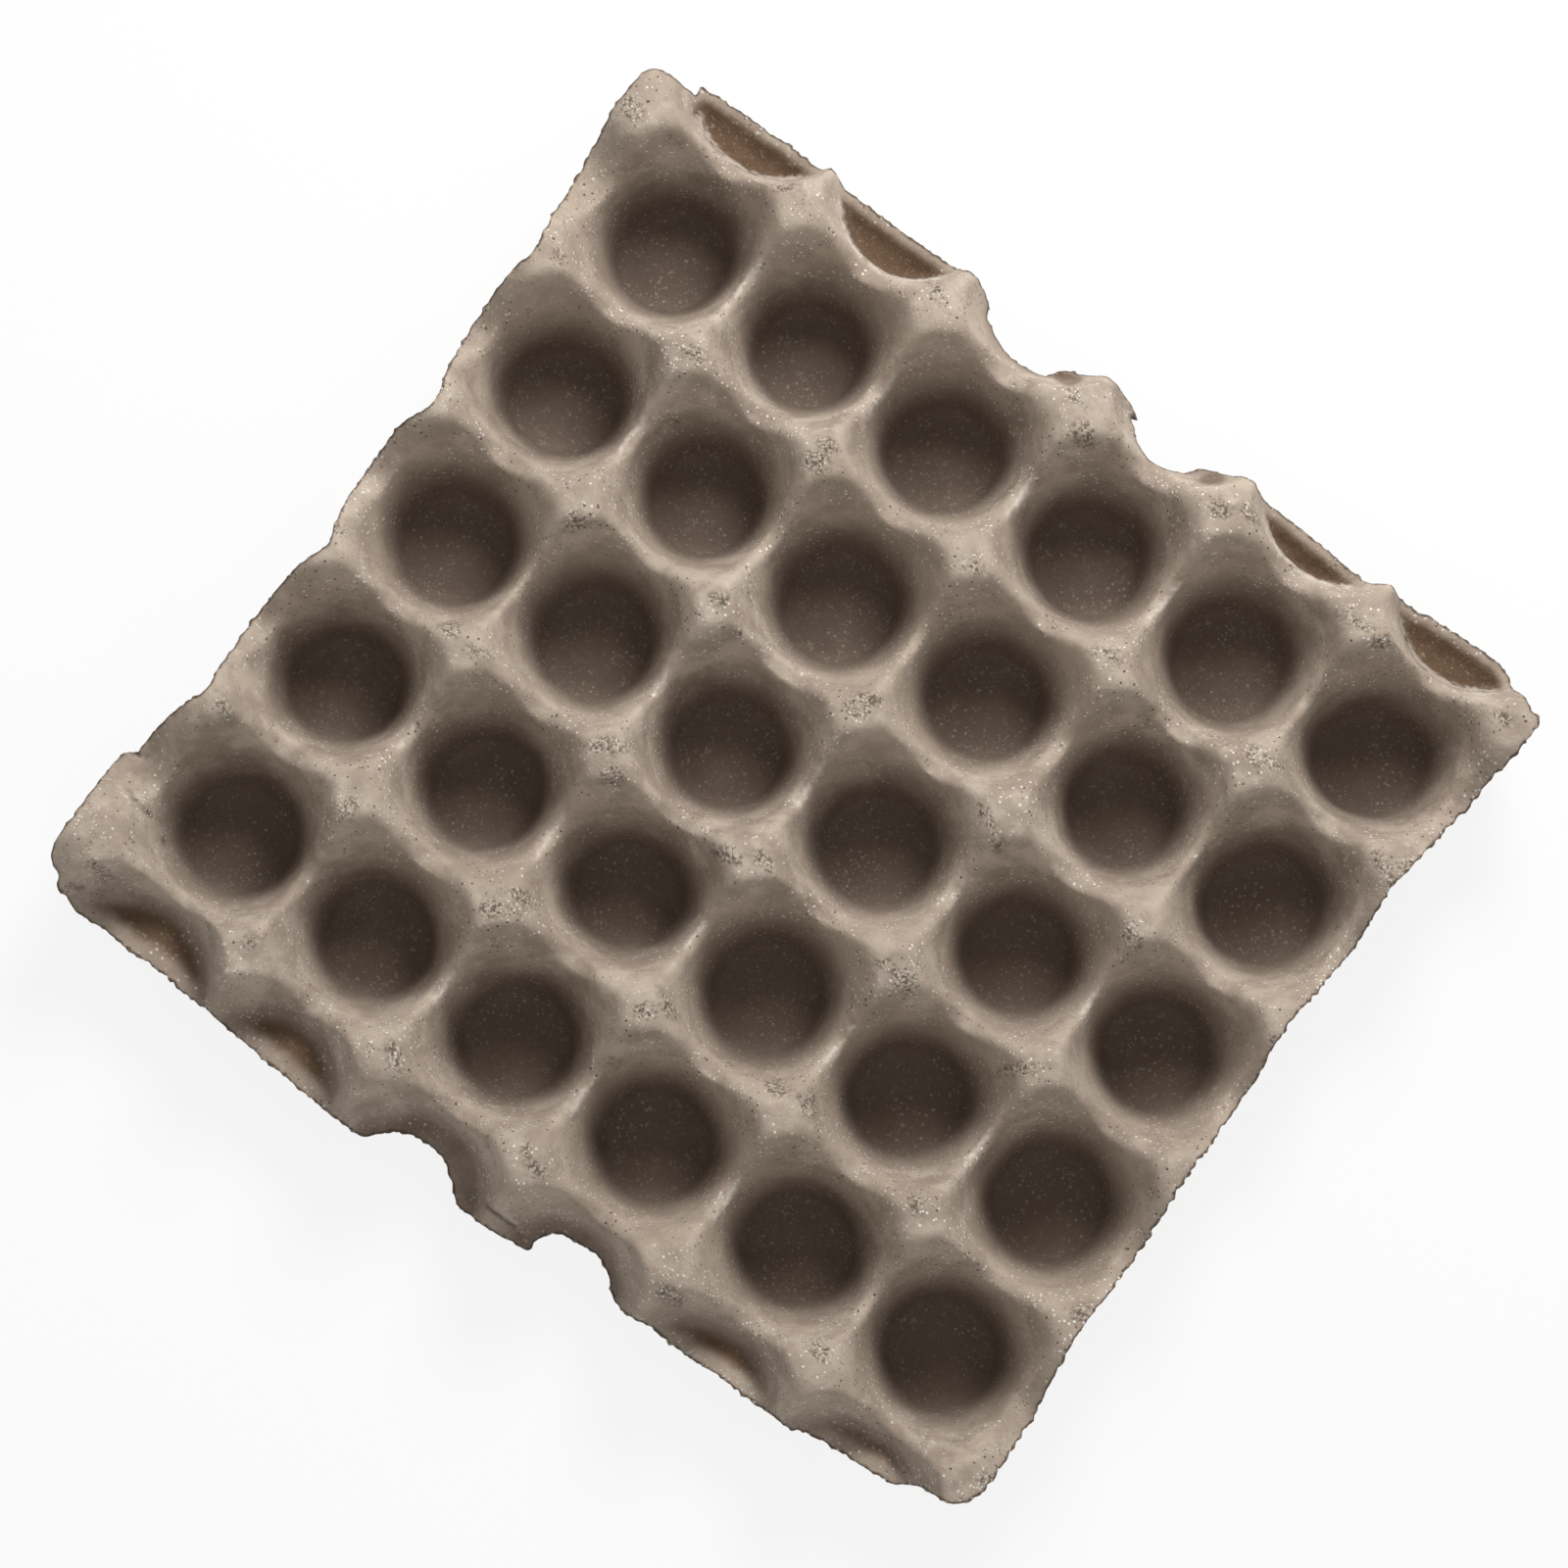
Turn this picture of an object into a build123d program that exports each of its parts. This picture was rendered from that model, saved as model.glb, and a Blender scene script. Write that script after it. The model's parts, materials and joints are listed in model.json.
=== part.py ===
from build123d import *
import math
import os

# Pulp egg tray: one sheet of paper pulp, moulded in one go and trimmed.
# +Z up, +X along the six-cell side; the origin is under the middle of the tray, on the table.

# --- driving sizes, millimetres -------------------------------------------------------------
columns, rows = 6, 5
pitch_x, pitch_y = 47.0, 49.2      # cell to cell
height = 45.0                      # table to the tops of the posts
saddle_height = 27.5               # the low ridges between two cells
wall = 2.0                         # one thickness of pulp everywhere

floor_radius = 14.0                # flat floor of a cell, before its corner is rounded
floor_fillet = 6.0
mouth_radius = 21.7                # a cell at saddle height

post_top_radius = 5.5              # flat top of a post, before rounding
post_slope = 52.0                  # flank of a post, degrees up from level
post_round, post_foot = 5.0, 6.0   # rounding at the top and at the foot of a post

trim_x, trim_y = -1.0, 15.1        # trimmed edge, outwards from the middles of the outermost posts
bow = 2.5                          # how far the sheet swells out beside each edge cell
corner_out, corner_length = 7.0, 27.0    # the corners stand out beyond the edge at the posts
corner_round, step_round = 7.0, 4.0

scoop_floor = 15.5                 # outer scoops between the posts of the long sides
scoop_fillet = 3.0
lip_height, lip_width = 24.0, 4.5  # flat lip outside a scoop
lip_slope = 15.0                   # its inner side leans, degrees off upright
notch_radius, notch_depth = 14.6, 9.0   # round cut-outs beside the two middle cells
notch_round = 3.0

# --- sizes that follow --------------------------------------------------------------------------
draft = math.degrees(math.atan((mouth_radius - floor_radius) / (saddle_height - wall)))
cell_x = [(i - (columns - 1) / 2) * pitch_x for i in range(columns)]
cell_y = [(j - (rows - 1) / 2) * pitch_y for j in range(rows)]
post_x = [(i - columns / 2) * pitch_x for i in range(columns + 1)]
post_y = [(j - rows / 2) * pitch_y for j in range(rows + 1)]
edge_x, edge_y = post_x[-1] + trim_x, post_y[-1] + trim_y      # half sizes of the trimmed sheet
corner_x = edge_x + corner_out
scoop_y = (rows + 1) / 2 * pitch_y
scoop_radius = mouth_radius - (saddle_height - scoop_floor) * math.tan(math.radians(draft))
notch_x = [x for x in cell_x if abs(x) < pitch_x]
scoop_x = [x for x in cell_x if abs(x) > pitch_x]
notch_y = edge_y - notch_depth + notch_radius
above = height + 5


def cup(floor, radius, corner, grow):
    """A tapered round cavity, or with grow the same form one wall bigger."""
    r0 = radius + grow * math.tan(math.radians((90 - draft) / 2))
    z0 = floor - grow
    r1 = r0 + (above - z0) * math.tan(math.radians(draft))
    with BuildPart() as form:
        with BuildSketch(Plane.XZ) as profile:
            Polygon((0, z0), (r0, z0), (r1, above), (0, above), align=None)
            fillet(profile.vertices().group_by(Axis.Y)[0].sort_by(Axis.X)[-1], corner + grow)
        revolve(axis=Axis.Z)
    return form.part


def dome(inset):
    """A post before the cells are taken out of it, or with inset its hollow underside."""
    top, low = height - inset, saddle_height - inset
    r0 = post_top_radius - inset * math.tan(math.radians(post_slope / 2))
    r1 = r0 + (top - low) / math.tan(math.radians(post_slope))
    r2 = r1 + post_foot
    with BuildPart() as form:
        with BuildSketch(Plane.XZ) as profile:
            Polygon((0, 0), (r2, 0), (r2, low), (r1, low), (r0, top), (0, top), align=None)
            corners = profile.vertices()
            fillet(corners.filter_by_position(Axis.Y, top - .1, top + .1).sort_by(Axis.X)[-1],
                   post_round - inset)
            fillet(corners.filter_by_position(Axis.Y, low - .1, low + .1).sort_by(Axis.X)[0],
                   post_foot + inset)
        revolve(axis=Axis.Z)
    return form.part


def body(inset):
    """Everything under the top surface, before the cells are taken out."""
    with BuildPart() as form:
        Box(2.2 * corner_x, 2.2 * edge_y, saddle_height - inset,
            align=(Align.CENTER, Align.CENTER, Align.MIN))
        with Locations([(x, y) for x in post_x for y in post_y]):
            add(dome(inset))
    return form.part


def lip(inset):
    """The flat lip that closes the scoops on the outside; it is left standing."""
    lean = math.tan(math.radians(lip_slope))
    top = lip_height - inset
    near = edge_y - lip_width + inset * (math.hypot(1, lean) - lean)
    with BuildPart() as form:
        with BuildSketch(Plane.YZ):
            Polygon((near - lean * top, 0), (near, top), (2 * edge_y, top), (2 * edge_y, 0), align=None)
        extrude(amount=columns / 2 * pitch_x, both=True)
        mirror(about=Plane.XZ)
    return form.part


def cavities(inset):
    """All that is pressed down into the sheet, or with inset the same one wall bigger."""
    with BuildPart() as form:
        with Locations([(x, y) for x in scoop_x for y in (scoop_y, -scoop_y)]):
            add(cup(scoop_floor, scoop_radius, scoop_fillet, inset))
        add(lip(inset), mode=Mode.SUBTRACT)
        with Locations([(x, y) for x in notch_x for y in (scoop_y, -scoop_y)]):
            add(cup(scoop_floor, scoop_radius, scoop_fillet, inset))
        with Locations([(x, y) for x in cell_x for y in cell_y]):
            add(cup(wall, floor_radius, floor_fillet, inset))
    return form.part


# the line the moulded sheet is trimmed to, seen from above
with BuildPart() as trim:
    with BuildSketch() as outline:
        Rectangle(2 * edge_x, 2 * edge_y)
        with Locations([(x, y) for x in (cell_x[0], cell_x[-1]) for y in cell_y]):
            Circle(edge_x + bow - cell_x[-1])
        corner_y = edge_y - corner_length / 2
        with Locations([(x, y) for x in (edge_x, -edge_x) for y in (corner_y, -corner_y)]):
            Rectangle(2 * (corner_x - edge_x), corner_length)
        with Locations([(x, y) for x in notch_x for y in (notch_y, -notch_y)]):
            Circle(notch_radius, mode=Mode.SUBTRACT)
        tips = outline.vertices().filter_by(lambda v: abs(v.X) > corner_x - .1)
        fillet(tips.filter_by(lambda v: abs(v.Y) > edge_y - .1), corner_round)
        tips = outline.vertices().filter_by(lambda v: abs(v.X) > corner_x - .1)
        fillet(tips.filter_by(lambda v: abs(v.Y) < edge_y - corner_length + .1), step_round)
        mouths = outline.vertices().filter_by(lambda v: abs(v.X) < pitch_x)
        fillet(mouths.filter_by(lambda v: abs(v.Y) > edge_y - .1), notch_round)
    extrude(amount=above)

# the space under the sheet
with BuildPart() as hollow:
    add(body(wall))
    add(cavities(wall), mode=Mode.SUBTRACT)

# the sheet itself: filled to its top surface, pressed into cells, hollowed, trimmed
with BuildPart() as egg_tray:
    add(body(0))
    add(cavities(0), mode=Mode.SUBTRACT)
    add(hollow.part, mode=Mode.SUBTRACT)
    add(trim.part, mode=Mode.INTERSECT)

egg_tray.part.label = "egg_tray"
os.makedirs("parts", exist_ok=True)
export_step(egg_tray.part, "parts/egg_tray.step")
print("egg_tray:", len(egg_tray.part.solids()), "solid,", round(egg_tray.part.volume / 1000, 1), "cm3")
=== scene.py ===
# %% [markdown]
# # A moulded pulp egg tray
# This tray is one sheet of wet paper fibre, sucked onto a mesh mould, dried and trimmed. So the lesson
# builds one thin shell: a height for every point seen from above, a trimmed outline, an underside one
# wall lower, and a rough strip of torn fibre that joins the two along the edge. The packed model is the
# fixed frame. It says where the cells are and how high the tray is.

# %% Load the frame
import bpy
import json
import math
import numpy as np
from mathutils import Matrix, Vector
from mathutils.geometry import delaunay_2d_cdt


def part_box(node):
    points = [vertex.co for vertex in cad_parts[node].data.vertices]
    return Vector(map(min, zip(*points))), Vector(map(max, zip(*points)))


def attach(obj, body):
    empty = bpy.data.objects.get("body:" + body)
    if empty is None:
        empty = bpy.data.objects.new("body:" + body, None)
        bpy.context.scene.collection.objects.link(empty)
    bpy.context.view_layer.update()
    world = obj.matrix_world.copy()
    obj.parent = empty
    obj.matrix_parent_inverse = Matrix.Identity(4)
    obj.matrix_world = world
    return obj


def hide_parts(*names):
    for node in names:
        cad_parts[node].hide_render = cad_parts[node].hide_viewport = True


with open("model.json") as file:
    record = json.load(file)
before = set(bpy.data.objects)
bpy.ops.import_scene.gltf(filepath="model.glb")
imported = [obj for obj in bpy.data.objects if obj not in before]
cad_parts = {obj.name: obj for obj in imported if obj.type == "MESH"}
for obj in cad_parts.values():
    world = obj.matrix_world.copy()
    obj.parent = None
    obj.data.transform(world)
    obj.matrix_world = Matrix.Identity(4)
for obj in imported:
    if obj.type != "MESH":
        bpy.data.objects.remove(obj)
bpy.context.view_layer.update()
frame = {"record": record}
record = frame["record"]

# %% [markdown]
# The grid comes first, because everything on the tray repeats with it. The record holds one opening for
# each cell, named by its row and column, so the cell centres are the middles of those boxes. Sizes are
# kept in millimetres while the shape is worked out and become metres only in the finished mesh.

# %% The grid of cells and posts
cells = []
for opening in record["physics"]["openings"]:
    low, high = opening["box_m"]
    cells.append((500 * (low[0] + high[0]), 500 * (low[1] + high[1])))      # the middle, metres to mm
cells = np.array(cells)
column_x = np.unique(cells[:, 0].round(3))
row_y = np.unique(cells[:, 1].round(3))
pitch_x, pitch_y = np.diff(column_x).mean(), np.diff(row_y).mean()
post_x = np.append(column_x - pitch_x / 2, column_x[-1] + pitch_x / 2)
post_y = np.append(row_y - pitch_y / 2, row_y[-1] + pitch_y / 2)
height = 1000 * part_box("egg_tray")[1][2]
print("pitch", round(pitch_x, 2), "by", round(pitch_y, 2), "mm, height", round(height, 2), "mm")

# %% [markdown]
# The camera looks almost straight down, from a little to one side, through a long lens, so the tray
# keeps its square look. Three directions fix it: towards the camera, to the right and up in the picture.

# %% The camera
def direction(azimuth, elevation):
    """From the tray towards the camera: azimuth 0 looks along +Y, elevation 90 looks straight down."""
    a, e = math.radians(azimuth), math.radians(elevation)
    return Vector((math.sin(a) * math.cos(e), -math.cos(a) * math.cos(e), math.sin(e)))


towards = direction(36.3, 84.1)
right = Vector((0, 0, 1)).cross(towards).normalized()
upward = towards.cross(right)
aim = Vector((0, 0, 0.038)) - right * 0.0056 + upward * 0.0008

camera_data = bpy.data.cameras.new("tray_camera")
camera_data.sensor_width = 36
camera_data.lens = 130
camera_data.clip_end = 50
camera = bpy.data.objects.new("tray_camera", camera_data)
bpy.context.scene.collection.objects.link(camera)
axes = Matrix((right, upward, towards)).transposed().to_4x4()
camera.matrix_world = Matrix.Translation(aim + towards * 1.5) @ axes
bpy.context.scene.camera = camera
print("lens", round(camera_data.lens), "mm at", [round(v, 3) for v in camera.matrix_world.translation])

# %% [markdown]
# Real pulp is never quite regular: the mould is worn, the sheet shrinks as it dries and is bent when it
# is pulled off. A few soft waves added together give that, and a fixed seed gives the same tray each run.
# The same helper, with short waves, later roughens the skin and frays the edge.

# %% Soft random waves
def waves(seed, size, count=36):
    """A smooth random field of x and y, about -1 to 1, whose bumps are about size mm apart."""
    pick = np.random.default_rng(seed)
    turn, phase = pick.uniform(0, 2 * np.pi, (2, count))
    length = size * pick.uniform(0.7, 1.7, count)
    kx, ky = 2 * np.pi * np.cos(turn) / length, 2 * np.pi * np.sin(turn) / length

    def field(x, y):
        total = np.zeros(np.shape(x))
        for a, b, c in zip(kx, ky, phase):
            total += np.sin(a * x + b * y + c)
        return total / math.sqrt(count)
    return field


def smooth_min(a, b, blend):
    """The lower of two surfaces, with the corner between them rounded over about blend mm."""
    mix = np.clip(0.5 + 0.5 * (b - a) / blend, 0, 1)
    return b + (a - b) * mix - blend * mix * (1 - mix)


def smooth_max(a, b, blend):
    return -smooth_min(-a, -b, blend)


def step(value, start, end):
    """0 before start, 1 after end, with a soft rise between."""
    t = np.clip((value - start) / (end - start), 0, 1)
    return t * t * (3 - 2 * t)


sway_x, sway_y, sag = waves(3, 90), waves(4, 80), waves(5, 70)


def swayed(x, y):
    """Where a point of the bent tray lies on the regular grid."""
    return x + 0.8 * sway_x(x, y), y + 0.8 * sway_y(x, y)


print("waves at the middle:", [round(float(f(0.0, 0.0)), 3) for f in (sway_x, sway_y, sag)])

# %% [markdown]
# The shape of the sheet is one function. It starts level at the low ridges between cells, rises into a
# hollow post at every corner of the grid, and is pressed down by a tapered round cup in every cell.
# Outside the long sides the next row of cups is only begun: a shallow scoop closed by a low lip, or,
# beside the two middle cells, a cup that the trimming cuts open. Rounded blends between these forms give
# the soft shoulders that wet pulp takes; on the far side the scoops keep a crisp crest. The underside is
# the same function with every form one wall thicker, so the sheet is evenly thick on slopes too.

# %% The height of the sheet
wall = 2.0
saddle = 27.5
floor_radius, mouth_radius = 14.0, 21.7
taper = (mouth_radius - floor_radius) / (saddle - wall)      # how far a cup widens for each mm of height
thicken = math.tan(math.atan(1 / taper) / 2)                 # how far its foot moves out for each mm of wall
post_radius, post_slope = 7.4, math.radians(52)              # flat top, and flank from level
outer_y = row_y[-1] + pitch_y                                # the row of cups that is only begun
scoop_floor, lip_height = 20.0, 23.0
cut_floor = 15.5
cut_radius = mouth_radius - (saddle - cut_floor) * taper
scoop_x = [x for x in column_x if abs(x) > pitch_x]
notch_x = [x for x in column_x if abs(x) < pitch_x]

chance = np.random.default_rng(17)
cell_shift = chance.normal(0, 0.35, cells.shape)
cell_swell = chance.normal(0, 0.22, len(cells))
post_lift = np.minimum(0.3, chance.normal(0, 0.35, (len(post_x), len(post_y))))


def cup(x, y, cx, cy, floor, radius, corner, inset):
    """A tapered round cup as a height, or with inset its outer face one wall further out."""
    r = np.hypot(x - cx, y - cy)
    flank = floor - inset + (r - radius - inset * thicken) / taper
    return smooth_max(flank, np.full(np.shape(r), floor - inset), corner + inset)


def wider(cx):
    """The corner scoops reach a little further than the others."""
    return 1.4 if abs(cx) > 2 * pitch_x else 0


def sheet_height(x, y, inset=0.0, edge_gap=99.0):
    """Height of the upper face at x, y in mm, or with inset the height of the face one wall below it.
    edge_gap is how far each point lies inside the trimmed edge, which the lip of a scoop follows."""
    u, v = swayed(x, y)
    post_round = 4.5 if inset else 6
    body = saddle - inset + 0.5 * sag(x, y)
    for i, px in enumerate(post_x):
        for j, py in enumerate(post_y):
            d = np.hypot(u - px, v - py)
            top = height - 0.35 - inset + post_lift[i, j]
            flank = top - (d - post_radius + inset * math.tan(post_slope / 2)) * math.tan(post_slope)
            dome = smooth_min(np.full(np.shape(d), top), flank, post_round)
            body = np.where(d < 32, smooth_max(body, dome, 5 + inset), body)
    for k, (cx, cy) in enumerate(cells):
        cx, cy = cx + cell_shift[k, 0], cy + cell_shift[k, 1]
        press = cup(u, v, cx, cy, wall, floor_radius + cell_swell[k], 6.0, inset)
        near = np.hypot(x - cx, y - cy) < 40
        shoulder = 2.4 + 0.5 * np.clip(body - saddle, 0, 15) + inset
        body = np.where(near, smooth_min(body, press, shoulder), body)
    for side in (1, -1):
        lip_slope, crest_round = (1.0, 0.7) if side > 0 else (0.7, 4.0)
        lip = lip_height - inset - (edge_gap - 2.6 + 0.6 * inset) * lip_slope
        lip = smooth_min(lip, np.full(np.shape(lip), lip_height - inset), 1.5)
        for cx in scoop_x:
            bottom = cup(u, v, cx, side * outer_y, scoop_floor, mouth_radius - 2.1 + wider(cx), 3, inset)
            press = smooth_max(bottom, lip, 2.5)
            body = smooth_min(body, press, crest_round + inset)
        for cx in notch_x:
            press = cup(u, v, cx, side * outer_y, cut_floor, cut_radius, 3, inset)
            body = smooth_min(body, press, 2.5 + inset)
    return body


probe = np.array([[0, 0], [column_x[3], row_y[2]], [column_x[3], post_y[3]]], float)
print("post, cell floor, saddle at:", sheet_height(probe[:, 0], probe[:, 1]).round(2), "mm")

# %% [markdown]
# The trimmed edge was cut a little off centre and then worn and torn at the corners. It is drawn as runs
# of listed points. A smooth curve goes through each run, and where one run ends and the next starts
# there is a sharp corner, as at a tear. Short seeded waves then fray the line by a few tenths of a mm.

# %% The trimmed outline
runs = [
    # far left corner, worn, then a small tear beside the first scoop
    [(-149.2, 120), (-148.8, 129), (-146.4, 132.8), (-139.5, 133.4), (-136.2, 135)],
    [(-136.2, 135), (-136, 137.6), (-134, 138.6), (-111, 139.4), (-82, 138.6), (-55, 138.6), (-43, 138.5)],
    [(-43, 138.5), (-39.2, 137.5), (-37.5, 135), (-34, 132), (-28, 129.9), (-21.5, 129.3), (-16.5, 129.6),
     (-14.6, 130.4)],
    [(-14.6, 130.4), (-13.6, 132.6), (-10.6, 135.6), (-5, 136.5), (6, 136.6)],
    [(6, 136.6), (8.6, 137.2), (12.2, 135.8)],
    [(12.2, 135.8), (10.6, 134.6), (12.9, 132.4), (17, 128.8), (21.5, 127), (26, 127.9), (30.8, 131),
     (33.4, 134.9), (37, 136.5)],
    [(37, 136.5), (66, 136.4), (87, 135.1), (107, 137.4), (120, 138.1), (129.5, 138.4)],
    [(129.5, 138.4), (133.6, 137), (136.5, 134), (139.5, 132), (143, 129.4)],
    # right side: trimmed close to the cells, nearly straight
    [(143, 129.4), (145.8, 129.1), (146.6, 126), (146, 115), (144, 95), (141.6, 78), (140.5, 69), (142.4, 53),
     (141.4, 38), (139.6, 24), (141.8, 7), (142, -7), (141.6, -20), (142.2, -34), (144, -50), (142.6, -70),
     (144, -84), (146.6, -98), (147, -114), (146.4, -122.5), (145, -126.6)],
    [(145, -126.6), (142, -129.1), (138.5, -130)],
    [(138.5, -130), (133.5, -130.6), (129.5, -132.8), (126.5, -134.5)],
    [(126.5, -134.5), (113.5, -135.5), (103.5, -136.5), (99.5, -137.3), (97.2, -138.6)],
    # near side, with the two cut-outs and the folded tongue between them
    [(97.2, -138.6), (73.5, -138.9), (55, -139), (46.5, -139.5), (40.5, -139.1), (36.4, -137.2),
     (32.6, -133.9), (28.5, -132), (23, -132.3), (17.8, -133.1), (14.2, -135.6), (12.5, -139.4)],
    [(12.5, -139.4), (12.4, -142), (5.5, -142.9), (-4, -143.6), (-10.2, -143.4)],
    [(-10.2, -143.4), (-13.2, -140.8), (-16.8, -137.2), (-22, -135.2), (-29, -135.2), (-34, -137),
     (-38, -140.4), (-40.6, -143.3), (-44, -144)],
    [(-44, -144), (-64, -143.4), (-96.5, -141.2), (-126.5, -140.4), (-137.8, -141)],
    [(-137.8, -141), (-141.5, -139)],
    [(-141.5, -139), (-144.6, -138.4), (-145.8, -135.8), (-148.8, -133.8), (-151, -130.5), (-151.6, -118),
     (-153, -107), (-152.6, -99.5)],
    # left side: a small crack, then a scallop outside each cell, pinched in at each post
    [(-152.6, -99.5), (-149.6, -97)],
    [(-149.6, -97), (-149, -90), (-145.5, -81), (-142.6, -73.5), (-143.6, -67), (-146, -54), (-145.8, -45),
     (-143.4, -34), (-140, -23.5), (-143, -14.5), (-145.8, -2), (-145.6, 8), (-142.4, 17.5), (-140, 24),
     (-142, 31), (-145.8, 43.5), (-146.5, 54), (-144.8, 65.5), (-142.9, 73), (-145.8, 85), (-148.3, 97),
     (-149.2, 110), (-149.2, 120)],
]


def curve_through(points, spacing):
    """A smooth curve through the points (Catmull-Rom), as evenly spaced points without the last one."""
    p = np.array(points, float)
    p = np.vstack([2 * p[0] - p[1], p, 2 * p[-1] - p[-2]])
    t = np.linspace(0, 1, 24, endpoint=False)[:, None]
    fine = []
    for a, b, c, d in zip(p[:-3], p[1:-2], p[2:-1], p[3:]):
        bend, turn = 2 * a - 5 * b + 4 * c - d, 3 * b - a - 3 * c + d
        fine.append(0.5 * (2 * b + (c - a) * t + bend * t**2 + turn * t**3))
    fine = np.vstack(fine + [p[-2:-1]])
    along = np.append(0, np.cumsum(np.hypot(*np.diff(fine, axis=0).T)))
    stops = np.linspace(0, along[-1], max(2, round(along[-1] / spacing) + 1))[:-1]
    return np.column_stack([np.interp(stops, along, fine[:, 0]), np.interp(stops, along, fine[:, 1])])


outline = np.vstack([curve_through(run, 0.8) for run in runs])
ahead = np.roll(outline, -1, axis=0) - np.roll(outline, 1, axis=0)
outward = np.column_stack([-ahead[:, 1], ahead[:, 0]]) / np.hypot(*ahead.T)[:, None]
fray = 0.22 * waves(21, 3.2)(*outline.T) + 0.16 * waves(22, 9)(*outline.T)
fray *= 0.6 + 0.8 * step(waves(23, 35)(*outline.T), -0.3, 0.8)
outline = outline + outward * fray[:, None]
print(len(outline), "points on the outline, from", outline.min(0).round(1), "to", outline.max(0).round(1))

# %% [markdown]
# A flat grid of points would leave long, coarse triangles on the steep cup walls. So the points are laid
# out on a stretched map: inside a circle around each cell the floor is drawn smaller and the wall wider,
# in the same proportion as the real surface. An even grid there comes out even on the cup as well. The
# triangles are joined on the map (Delaunay, kept inside the outline) and then carried back.

# %% A stretched map for even triangles
wall_run = math.hypot(1, taper) / taper          # length of a cup wall for each mm seen from above
profile = np.array([0, 12 / 22, 1.0])            # middle, foot of the wall and rim, as shares of the rim
stretched = np.cumsum(np.append(0, np.diff(profile) * [1, wall_run]))
stretched /= stretched[-1]


def nearest_cell(x, y):
    i = np.clip(np.round((x - column_x[0]) / pitch_x), 0, len(column_x) - 1)
    j = np.clip(np.round((y - row_y[0]) / pitch_y), 0, len(row_y) - 1)
    return column_x[0] + i * pitch_x, row_y[0] + j * pitch_y


def remap(points, before, after):
    """Moves points in or out within their cell, from one spacing of rings to the other."""
    cx, cy = nearest_cell(*points.T)
    dx, dy = points[:, 0] - cx, points[:, 1] - cy
    r = np.hypot(dx, dy)
    reach = 22.2 + 3.8 * (2 * dx * dy / np.maximum(r, 1e-9)**2)**2
    ratio = np.interp(r / reach, before, after) / np.maximum(r / reach, 1e-9)
    ratio = np.where((r < reach) & (r > 1e-6), ratio, 1)
    return np.column_stack([cx + dx * ratio, cy + dy * ratio])


def inside(points, loop):
    """Which points lie inside the closed loop, counted by the edges they have to one side."""
    x, y = points.T
    odd = np.zeros(len(points), bool)
    for (x0, y0), (x1, y1) in zip(loop, np.roll(loop, -1, axis=0)):
        if y0 != y1:
            odd ^= ((y0 > y) != (y1 > y)) & (x < (x1 - x0) * (y - y0) / (y1 - y0) + x0)
    return odd


def distance_to(points, loop, reach=12.0):
    """Distance from each point to the nearest point of the loop, up to reach."""
    nearest = np.full(len(points), reach)
    for start in range(0, len(loop), 40):
        part = loop[start:start + 40]
        low, high = part.min(0) - reach, part.max(0) + reach
        some = np.where(((points > low) & (points < high)).all(1))[0]
        gap = points[some, None, :] - part[None, :, :]
        nearest[some] = np.minimum(nearest[some], np.sqrt((gap**2).sum(2).min(1)))
    return nearest


def triangulate(spacing, loop, seed):
    """Points and triangles that fill the loop, evenly on the stretched map; the loop's points are first."""
    flat_loop = remap(loop, profile, stretched)
    pick = np.random.default_rng(seed)
    low, high = flat_loop.min(0), flat_loop.max(0)
    rows = np.arange(low[1], high[1], spacing * math.sqrt(0.75))
    row = np.arange(low[0], high[0], spacing)
    grid = np.vstack([np.column_stack([row + spacing / 2 * (k % 2), np.full(len(row), y)])
                      for k, y in enumerate(rows)])
    grid += pick.uniform(-0.12, 0.12, grid.shape) * spacing
    grid = grid[inside(grid, flat_loop)]
    grid = grid[distance_to(grid, flat_loop, 3.0) > 0.6 * spacing]
    points = np.vstack([flat_loop, grid])
    out = delaunay_2d_cdt([Vector(p) for p in points], [], [list(range(len(loop)))], 1, 1e-7)
    flat = np.array([tuple(p) for p in out[0]])
    faces = np.array(out[2])
    back = remap(flat, stretched, profile)
    back[:len(loop)] = loop
    return back, faces


top_xy, top_faces = triangulate(1.2, outline, 31)
low_xy, low_faces = triangulate(2.4, outline, 32)
print("upper face:", len(top_xy), "points,", len(top_faces), "triangles")
print("underside:", len(low_xy), "points,", len(low_faces), "triangles")

# %% [markdown]
# Handling leaves marks: tears at the corners, cracks, folds and wrinkles, and brown torn flaps beside two of
# the cut-outs. Each is a short line or a spot placed one by one, with its edges made uneven by the lumps of
# the skin. The same few helpers also draw the brown of the outer scoops, which the mould left smooth.

# That brown is partly the smoother pulp and partly painted shade of the deep pockets.
# %% Marks, scoops and depth
lumps, grain = waves(41, 9, 48), waves(42, 3.4, 60)

# x, y, radius
torn_flaps = [(-9.5, 131.5, 4.5), (38.0, 132.5, 4.0)]
# from x, y to x, y, half width
cracks = [(-134, 135.5, -133, 129.5, 0.7), (-152, -98, -146.5, -97, 0.8), (-132, -112, -130, -110, 0.7),
          (-146, -107, -134, -109, 0.9), (-142, -137, -139, -134.5, 0.8), (-4, -138.6, 8.5, -139.4, 0.8)]
wrinkles = [(-98, 133, -92, 126, 0.9), (-96.5, -134, -90, -127, 1.1), (-131, 130, -126, 124.5, 0.9),
            (-3.5, -137.3, 7.5, -138, 1.1), (128, 126, 134, 131, 1.0), (51, 131, 46, 126, 0.9)]


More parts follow.
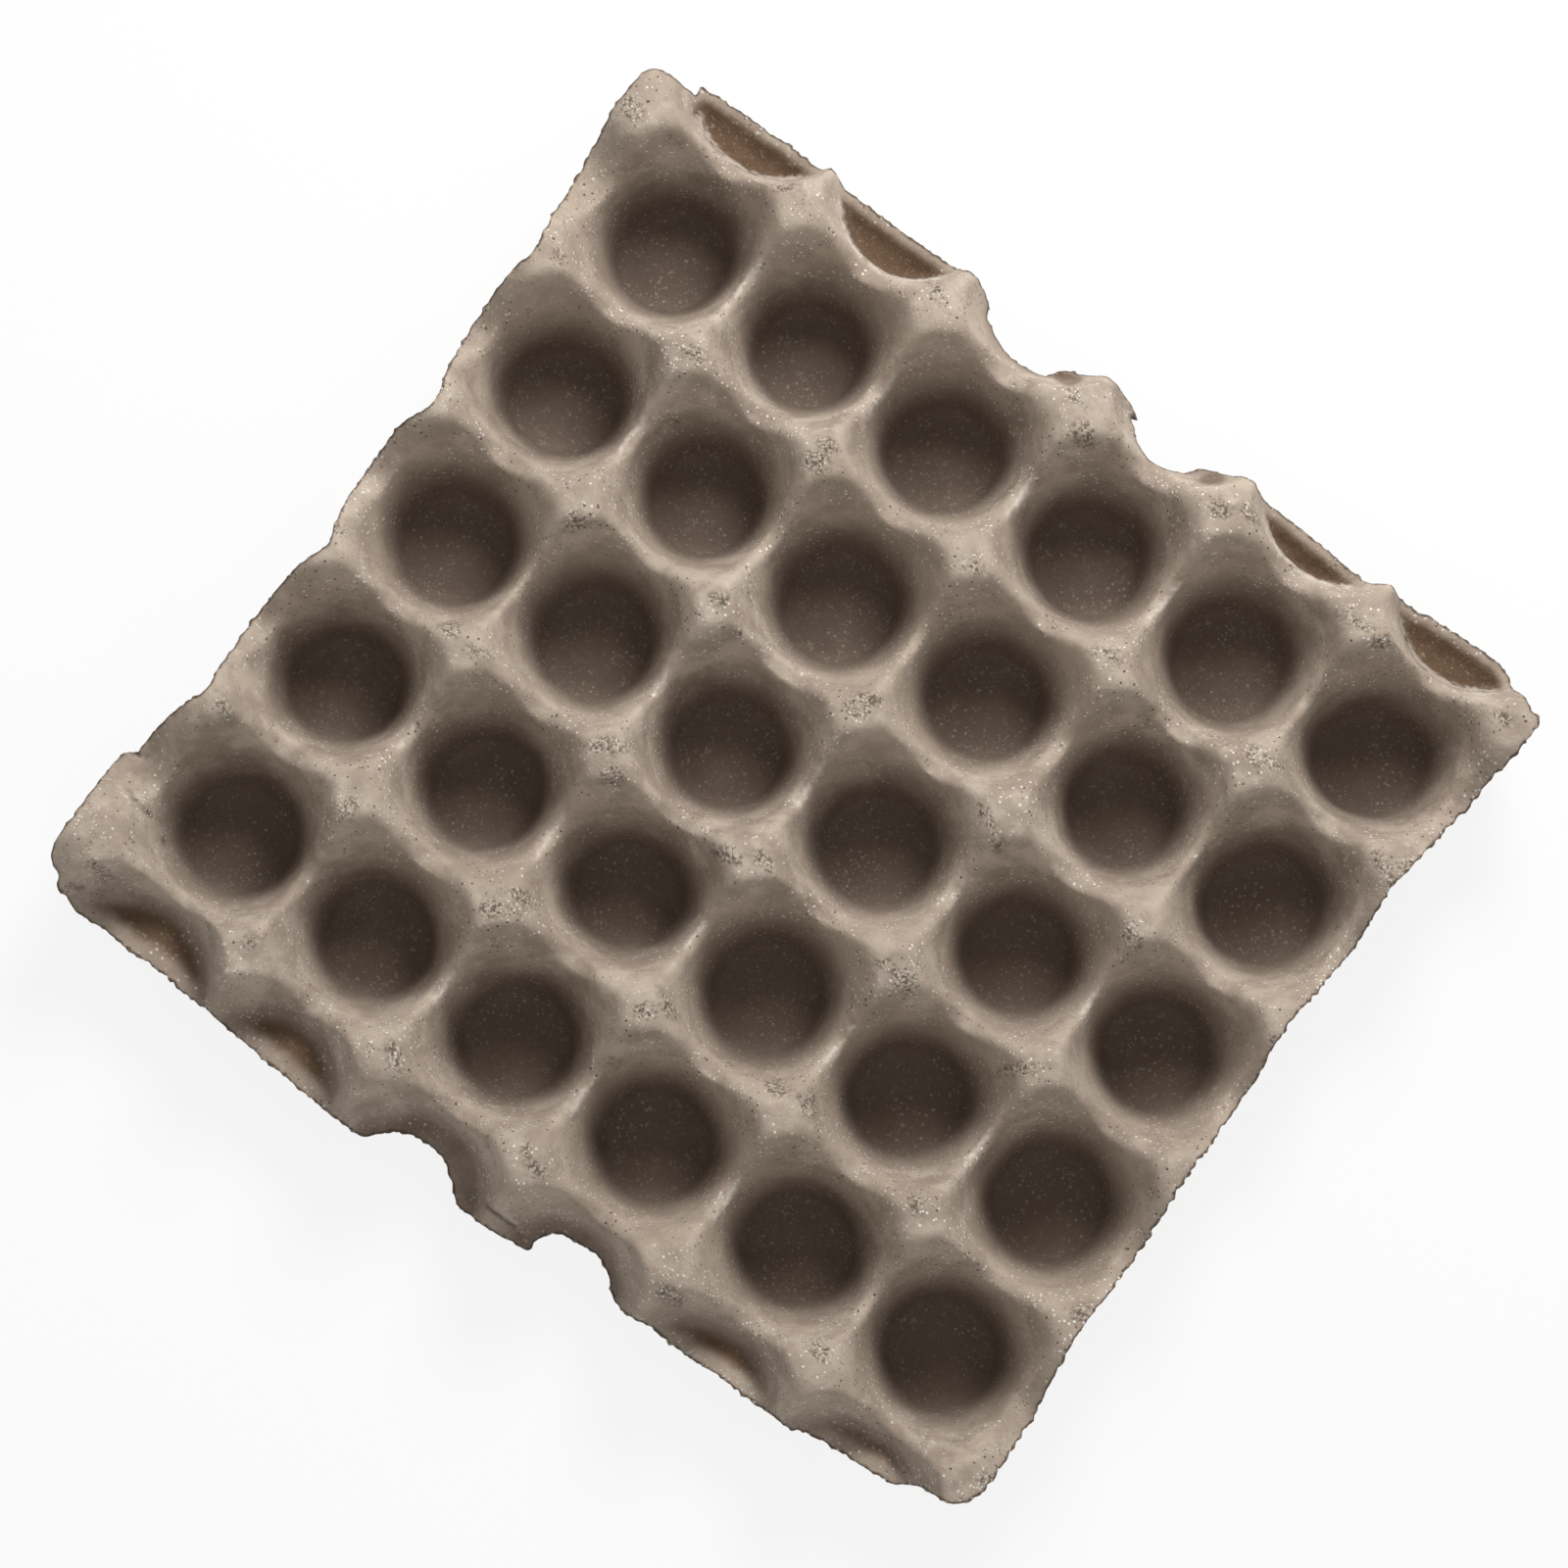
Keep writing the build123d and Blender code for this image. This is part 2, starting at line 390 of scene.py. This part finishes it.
def on_lines(x, y, lines):
    """1 on any of a few short lines (x0, y0, x1, y1, half width), fading to 0 beside and past them."""
    mask = np.zeros(np.shape(x))
    for x0, y0, x1, y1, wide in lines:
        dx, dy = x1 - x0, y1 - y0
        t = np.clip(((x - x0) * dx + (y - y0) * dy) / (dx * dx + dy * dy), 0, 1)
        gap = np.hypot(x - x0 - t * dx + 0.35 * lumps(x, y), y - y0 - t * dy + 0.35 * lumps(y, x))
        mask = np.maximum(mask, (1 - step(gap, 0.1 * wide, wide)) * (1 - 0.7 * np.abs(2 * t - 1) ** 3))
    return mask


def near_line(x, y, x0, y0, length, lean, wide):
    """1 on a short line along Y through x0, y0, fading to 0 at wide mm beside it and at its ends."""
    across = (x - x0) - lean * (y - y0) + 0.5 * lumps(np.full_like(y, x0), y)
    return (1 - step(np.abs(across), 0.15 * wide, wide)) * (1 - step(np.abs(y - y0), 0.6 * length, length))


def in_scoop(x, y, gap):
    """1 on the floor and sides of an outer scoop, crisp on the far side and soft on the near one."""
    u, v = swayed(x, y)
    mask = np.zeros(np.shape(x))
    for cx in scoop_x:
        reach = mouth_radius + wider(cx)
        far, near = np.hypot(u - cx, v - outer_y), np.hypot(u - cx, v + outer_y)
        mask = np.maximum(mask, (1 - step(far, reach - 1.3, reach)) * step(gap, 1.3, 3.6))
        mask = np.maximum(mask, (1 - step(near, reach - 6.5, reach - 1)) * step(gap, 2.5, 6.5))
    for cx, cy, size in torn_flaps:
        spot = 1 - step(np.hypot(x - cx, y - cy) + 0.8 * lumps(x, y), 0.5 * size, size)
        mask = np.maximum(mask, 0.8 * spot)
    return mask


def depth_in_cup(z):
    return 1 - step(z, 4.0, 31.0)


print(len(cracks), "cracks,", len(wrinkles), "wrinkles,", len(torn_flaps), "torn flaps")

# %% [markdown]
# Now the sheet gets its real surface. Fine waves give the lumpy skin that the mould's mesh and the dried
# fibre leave, weaker inside the cups where the mould is smooth. The same pass works out what the colour
# will need later, kept on the points as named values: how deep in a cup a point is, how near the cut
# edge, whether it lies in a scoop or on a crease, and where the posts were rubbed rough.

# %% Heights and surface values
top_x, top_y = top_xy.T
loop_count = len(outline)
edge_gap = distance_to(top_xy, outline)
top_z = sheet_height(top_x, top_y, edge_gap=edge_gap)
skin = 0.17 * lumps(top_x, top_y) + 0.10 * grain(top_x, top_y)
top_z = top_z + skin * (1 - 0.6 * depth_in_cup(top_z))
low_z = sheet_height(*low_xy.T, inset=wall, edge_gap=distance_to(low_xy, outline))
low_z = np.maximum(low_z + 0.08 * lumps(*low_xy.T), 0.0)
top_z = np.maximum(top_z, 1.6)

# pale creases: on most saddles between two columns, and round the far scoops
crest = np.zeros(len(top_xy))
draw = np.random.default_rng(77)
for px in post_x[1:-1]:
    for cy in row_y:
        if draw.random() < 0.75:
            x0, y0 = px + draw.uniform(-0.8, 0.8), cy + draw.uniform(-2, 2)
            length, lean = draw.uniform(5, 10), draw.uniform(-0.1, 0.1)
            crest = np.maximum(crest, near_line(top_x, top_y, x0, y0, length, lean, 0.9))
u, v = swayed(top_x, top_y)
for cx in scoop_x:
    rim_gap = np.abs(np.hypot(u - cx, v - outer_y) - mouth_radius)
    crest = np.maximum(crest, (1 - step(rim_gap, 0.3, 1.1)) * (top_y > 120) * step(edge_gap, 3, 5))
crack, wrinkle = on_lines(top_x, top_y, cracks), on_lines(top_x, top_y, wrinkles)
top_z += 0.3 * crest + 0.9 * wrinkle - 0.9 * crack

# one rough patch on each post, on some a second
rubbed_rough = np.zeros(len(top_xy))
for px in post_x:
    for py in post_y:
        for patch in range(1 + (draw.random() < 0.35)):
            cx, cy = px + draw.uniform(-6, 6), py + draw.uniform(-6, 6)
            turn, long, wide = draw.uniform(-0.5, 0.9), draw.uniform(3.5, 6.5), draw.uniform(1.8, 3.2)
            dx, dy = top_x - cx, top_y - cy
            along = (dx * math.cos(turn) + dy * math.sin(turn)) / long
            over = (dy * math.cos(turn) - dx * math.sin(turn)) / wide
            blot = 1 - step(np.hypot(along, over) + 0.25 * lumps(top_x, top_y), 0.55, 1.15)
            rubbed_rough = np.maximum(rubbed_rough, blot)
values = {
    "rough": rubbed_rough,
    "crest": np.maximum(crest, 0.6 * wrinkle),
    "crack": crack,
    # how deep in a cup a point is; it sets the painted shade of the cups
    "depth": depth_in_cup(top_z),
    # the outer scoops and torn flaps; the scoops' brown is partly smoother pulp, partly painted shade
    "scoop": in_scoop(top_x, top_y, edge_gap),
    "edge": 1 - step(edge_gap, 0.0, 5.0),
}
print("heights from", top_z.min().round(2), "to", top_z.max().round(2), "mm")

# %% [markdown]
# The two faces share one outline, so the cut edge is a narrow strip between them. One extra row of points
# half way down is pushed in and out at random, which makes the fibres of the cut look torn rather than
# sliced. With it the shell is closed all round.

# %% Close the shell along the cut edge
ring = np.arange(loop_count)
mid_xy = outline + outward * (0.15 + 0.25 * waves(51, 2.2)(*outline.T))[:, None]
mid_z = 0.5 * (top_z[:loop_count] + low_z[:loop_count]) + 0.3 * waves(52, 2.6)(*outline.T)
points = np.vstack([np.column_stack([top_xy, top_z]), np.column_stack([low_xy, low_z]),
                    np.column_stack([mid_xy, mid_z])])
n_top, n_low = len(top_xy), len(low_xy)
following = np.roll(ring, -1)
middle = n_top + n_low + ring
middle_next = n_top + n_low + following


def facing(faces, xy, sign):
    """The triangles turned so that, seen from above, they run anticlockwise (sign 1) or clockwise (-1)."""
    a, b, c = xy[faces[:, 0]], xy[faces[:, 1]], xy[faces[:, 2]]
    area = (b[:, 0] - a[:, 0]) * (c[:, 1] - a[:, 1]) - (b[:, 1] - a[:, 1]) * (c[:, 0] - a[:, 0])
    return np.where((area * sign > 0)[:, None], faces, faces[:, [0, 2, 1]])


def strip(upper, upper_next, lower, lower_next):
    return np.vstack([np.column_stack([upper, upper_next, lower]),
                      np.column_stack([upper_next, lower_next, lower])])


clockwise = np.cross(outline, outline[following]).sum() < 0
top_faces = facing(top_faces, top_xy, 1)
low_faces = facing(low_faces, low_xy, -1) + n_top
edge_faces = np.vstack([strip(ring, following, middle, middle_next),
                        strip(middle, middle_next, n_top + ring, n_top + following)])
if not clockwise:
    edge_faces = edge_faces[:, [0, 2, 1]]
faces = np.vstack([top_faces, low_faces, edge_faces])

mesh = bpy.data.meshes.new("pulp_tray")
mesh.vertices.add(len(points))
mesh.vertices.foreach_set("co", (points * 0.001).ravel())
mesh.loops.add(3 * len(faces))
mesh.loops.foreach_set("vertex_index", faces.ravel())
mesh.polygons.add(len(faces))
mesh.polygons.foreach_set("loop_start", np.arange(0, 3 * len(faces), 3))
mesh.polygons.foreach_set("loop_total", np.full(len(faces), 3))
mesh.update(calc_edges=True)
mesh.validate()
mesh.polygons.foreach_set("use_smooth", np.ones(len(faces), bool))
mesh.set_sharp_from_angle(angle=math.radians(55))
for name, top_values in values.items():
    layer = mesh.attributes.new(name, "FLOAT", "POINT")
    on_cut = 1.0 if name == "edge" else 0.0
    all_values = np.concatenate([top_values, np.zeros(n_low), np.full(loop_count, on_cut)])
    layer.data.foreach_set("value", all_values)
tray = bpy.data.objects.new("pulp_tray", mesh)
bpy.context.scene.collection.objects.link(tray)
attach(tray, "root")
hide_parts("egg_tray")
print("shell:", len(points), "points,", len(faces), "triangles")

# %% [markdown]
# Material maths reads best as maths. This small class holds a socket and gives it Python's operators, so
# `1 - mask` adds the Math node by itself. Every other kind of node comes from one method that takes the
# node's type, its settings and what goes into its sockets.

# %% Shader maths as Python expressions
class Wire:
    """A socket in a material. Arithmetic on it adds Math nodes."""

    def __init__(self, tree, socket=None):
        self.tree, self.socket = tree, socket

    def node(self, kind, settings=(), sockets=(), out=0):
        made = self.tree.nodes.new("ShaderNode" + kind)
        for name, value in dict(settings).items():
            setattr(made, name, value)
        for name, value in dict(sockets).items():
            if isinstance(value, Wire):
                self.tree.links.new(value.socket, made.inputs[name])
            else:
                made.inputs[name].default_value = value
        return Wire(self.tree, made.outputs[out]) if len(made.outputs) else made

    def math(self, operation, a, b=0.0):
        return self.node("Math", {"operation": operation}, {0: a, 1: b})

    def __add__(self, other): return self.math("ADD", self, other)
    def __radd__(self, other): return self.math("ADD", other, self)
    def __sub__(self, other): return self.math("SUBTRACT", self, other)
    def __rsub__(self, other): return self.math("SUBTRACT", other, self)
    def __mul__(self, other): return self.math("MULTIPLY", self, other)
    def __rmul__(self, other): return self.math("MULTIPLY", other, self)

    def between(self, low, high):
        """0 below low, 1 above high, with a soft rise (low may be the larger, for a fall)."""
        return self.node("MapRange", {"interpolation_type": "SMOOTHSTEP"},
                         {"Value": self, "From Min": low, "From Max": high})

    def blend(self, a, b):
        """Colour a where this mask is 0, colour b where it is 1."""
        a, b = [c if isinstance(c, Wire) else (*c, 1) for c in (a, b)]
        return self.node("Mix", {"data_type": "RGBA"}, {0: self, 6: a, 7: b}, out=2)


def new_material(name):
    material = bpy.data.materials.new(name)
    material.use_nodes = True
    material.node_tree.nodes.clear()
    return material, Wire(material.node_tree)


print("operators ready:", [name for name in vars(Wire) if name.startswith("__") and name != "__init__"][:6])

# %% [markdown]
# The pulp is grey-brown newsprint and board. Up close it is a felt of short fibres with pale flecks of
# unbroken paper and dark specks of ink and bark, gathered in patches. The colour is built in layers: a
# soft mottle, browner scoops (partly smoother pulp, partly painted shade), cups darkened with painted
# shade, then fibres, the dark cut edge, creases, flecks and specks.

# %% The pulp material
pulp, w = new_material("grey_brown_pulp")
place = w.node("TexCoord", out=3)


def noise(scale, detail=2.0, rough=0.5, twist=0.0):
    return w.node("TexNoise", {}, {"Vector": place, "Scale": scale, "Detail": detail,
                                   "Roughness": rough, "Distortion": twist})


def dots(size, spacing, seed):
    """Round specks size metres across the middle, scattered about spacing metres apart."""
    shifted = w.node("Mapping", {}, {"Vector": place, "Location": (0.37 * seed, 0.11 * seed, 0.23 * seed)})
    near = w.node("TexVoronoi", {"feature": "F1"},
                  {"Vector": shifted, "Scale": 1 / spacing, "Randomness": 1.0})
    return near.between(size / spacing * 1.25, size / spacing * 0.75)


def value_of(name):
    return w.node("Attribute", {"attribute_name": name}, out=2)


depth, scoop, edge = value_of("depth"), value_of("scoop"), value_of("edge")
rubbed, crest_line, crack_line = value_of("rough"), value_of("crest"), value_of("crack")

mottle = noise(90, 3.0, 0.6).between(0.35, 0.68)
cloud = noise(22, 2.0, 0.5).between(0.38, 0.64)
tone = mottle.blend((0.345, 0.275, 0.218), (0.535, 0.445, 0.362))
tone = (cloud * 0.5).blend(tone, (0.42, 0.337, 0.266))
# painted shade: the cups are darkened towards the floor, where little light reaches
tone = (depth * 0.88).blend(tone, (0.098, 0.068, 0.050))
# browner scoops: partly the smoother pulp and the torn flaps, partly painted shade deep in the pockets
tone = (scoop * 0.95).blend(tone, (0.110, 0.063, 0.034))

fibre = noise(700, 3.0, 0.65, twist=1.2)
tone = (fibre.between(0.55, 0.75) * 0.25).blend(tone, (0.66, 0.57, 0.47))
tone = (fibre.between(0.45, 0.28) * 0.30).blend(tone, (0.22, 0.165, 0.125))
cut_line = edge.between(0.90, 0.99) * noise(500, 2.0).between(0.30, 0.50)
tone = (cut_line * 0.92).blend(tone, (0.085, 0.058, 0.042))
tone = (crack_line * 0.85).blend(tone, (0.06, 0.042, 0.032))
tone = (crest_line * 0.7 * noise(300, 2.0).between(0.3, 0.55)).blend(tone, (0.72, 0.65, 0.57))

smooth_places = (1 - 0.85 * scoop) * (1 - 0.8 * depth)
patches = noise(75, 2.0, 0.5).between(0.40, 0.62)
pale = dots(0.00040, 0.0021, 1) * patches * smooth_places
pale = w.math("MAXIMUM", pale, dots(0.00026, 0.0012, 3) * noise(120, 2.0).between(0.5, 0.66) * smooth_places)
dark = dots(0.00036, 0.0024, 2) * noise(68, 2.0).between(0.42, 0.6) * smooth_places
dark = w.math("MAXIMUM", dark, dots(0.00022, 0.0011, 4) * noise(140, 2.0).between(0.54, 0.68) * smooth_places)
net = noise(800, 2.0, 0.7, twist=0.8).between(0.47, 0.58)
tone = (rubbed * net * 0.85).blend(tone, (0.10, 0.075, 0.056))
tone = (rubbed * noise(1100, 1.0, 0.5).between(0.56, 0.64) * 0.6).blend(tone, (0.70, 0.62, 0.52))
tone = (pale * 0.85).blend(tone, (0.86, 0.81, 0.73))
tone = (dark * 0.85).blend(tone, (0.06, 0.042, 0.032))

relief = fibre * 0.7 + noise(2200, 2.0, 0.6) * 0.3 + pale * 0.6 - dark * 0.5 + rubbed * net * -0.8
bump = w.node("Bump", {}, {"Strength": 0.5, "Distance": 0.0007, "Height": relief})
surface = w.node("BsdfPrincipled", {}, {"Base Color": tone, "Roughness": 0.86 + 0.1 * mottle,
                                        "Normal": bump, "Specular IOR Level": 0.25})
w.node("OutputMaterial", {}, {"Surface": surface})
tray.data.materials.append(pulp)
print("pulp material:", len(pulp.node_tree.nodes), "nodes")

# %% [markdown]
# The floor is plain and pale. To the camera it is mostly white of its own, so the background reads as
# clean white, and the rest is ordinary matt white that still takes the tray's soft shadow. The world is
# full white where it is looked at and dimmer as a light, and one lamp from the far side models the relief.

# %% Floor, world and lamps
floor_mesh = bpy.data.meshes.new("floor")
floor_mesh.from_pydata([(-6, -6, 0), (6, -6, 0), (6, 6, 0), (-6, 6, 0)], [], [(0, 1, 2, 3)])
floor = bpy.data.objects.new("floor", floor_mesh)
bpy.context.scene.collection.objects.link(floor)
white, f = new_material("white_floor")
seen = f.node("LightPath", out=0)
matt = f.node("BsdfDiffuse", {}, {"Color": (0.86, 0.86, 0.86, 1)})
glow = f.node("Emission", {}, {"Color": (1, 1, 1, 1), "Strength": 1.0})
f.node("OutputMaterial", {}, {"Surface": f.node("MixShader", {}, {0: seen * 0.85, 1: matt, 2: glow})})
floor_mesh.materials.append(white)

world = bpy.data.worlds.new("soft_studio")
bpy.context.scene.world = world
world.use_nodes = True
world.node_tree.nodes.clear()
s = Wire(world.node_tree)
camera_ray, glossy_ray, clear_ray = [s.node("LightPath", out="Is %s Ray" % kind)
                                     for kind in ("Camera", "Glossy", "Transmission")]
looked_at = s.math("MAXIMUM", s.math("MAXIMUM", camera_ray, glossy_ray), clear_ray)
sky = s.node("Background", {}, {"Color": (1, 1, 1, 1), "Strength": 0.39 + looked_at * 0.61})
s.node("OutputWorld", {}, {"Surface": sky})


def soft_lamp(name, azimuth, elevation, distance, size, watts):
    lamp = bpy.data.lights.new(name, "AREA")
    lamp.shape, lamp.size, lamp.energy = "DISK", size, watts
    obj = bpy.data.objects.new(name, lamp)
    bpy.context.scene.collection.objects.link(obj)
    away = direction(azimuth, elevation)
    turned = away.to_track_quat("Z", "Y").to_matrix().to_4x4()
    obj.matrix_world = Matrix.Translation(away * distance) @ turned


soft_lamp("key", 198, 45, 1.0, 0.4, 8.8)
soft_lamp("fill", 60, 55, 2.4, 1.6, 5)
bpy.context.scene.view_settings.view_transform = "Standard"
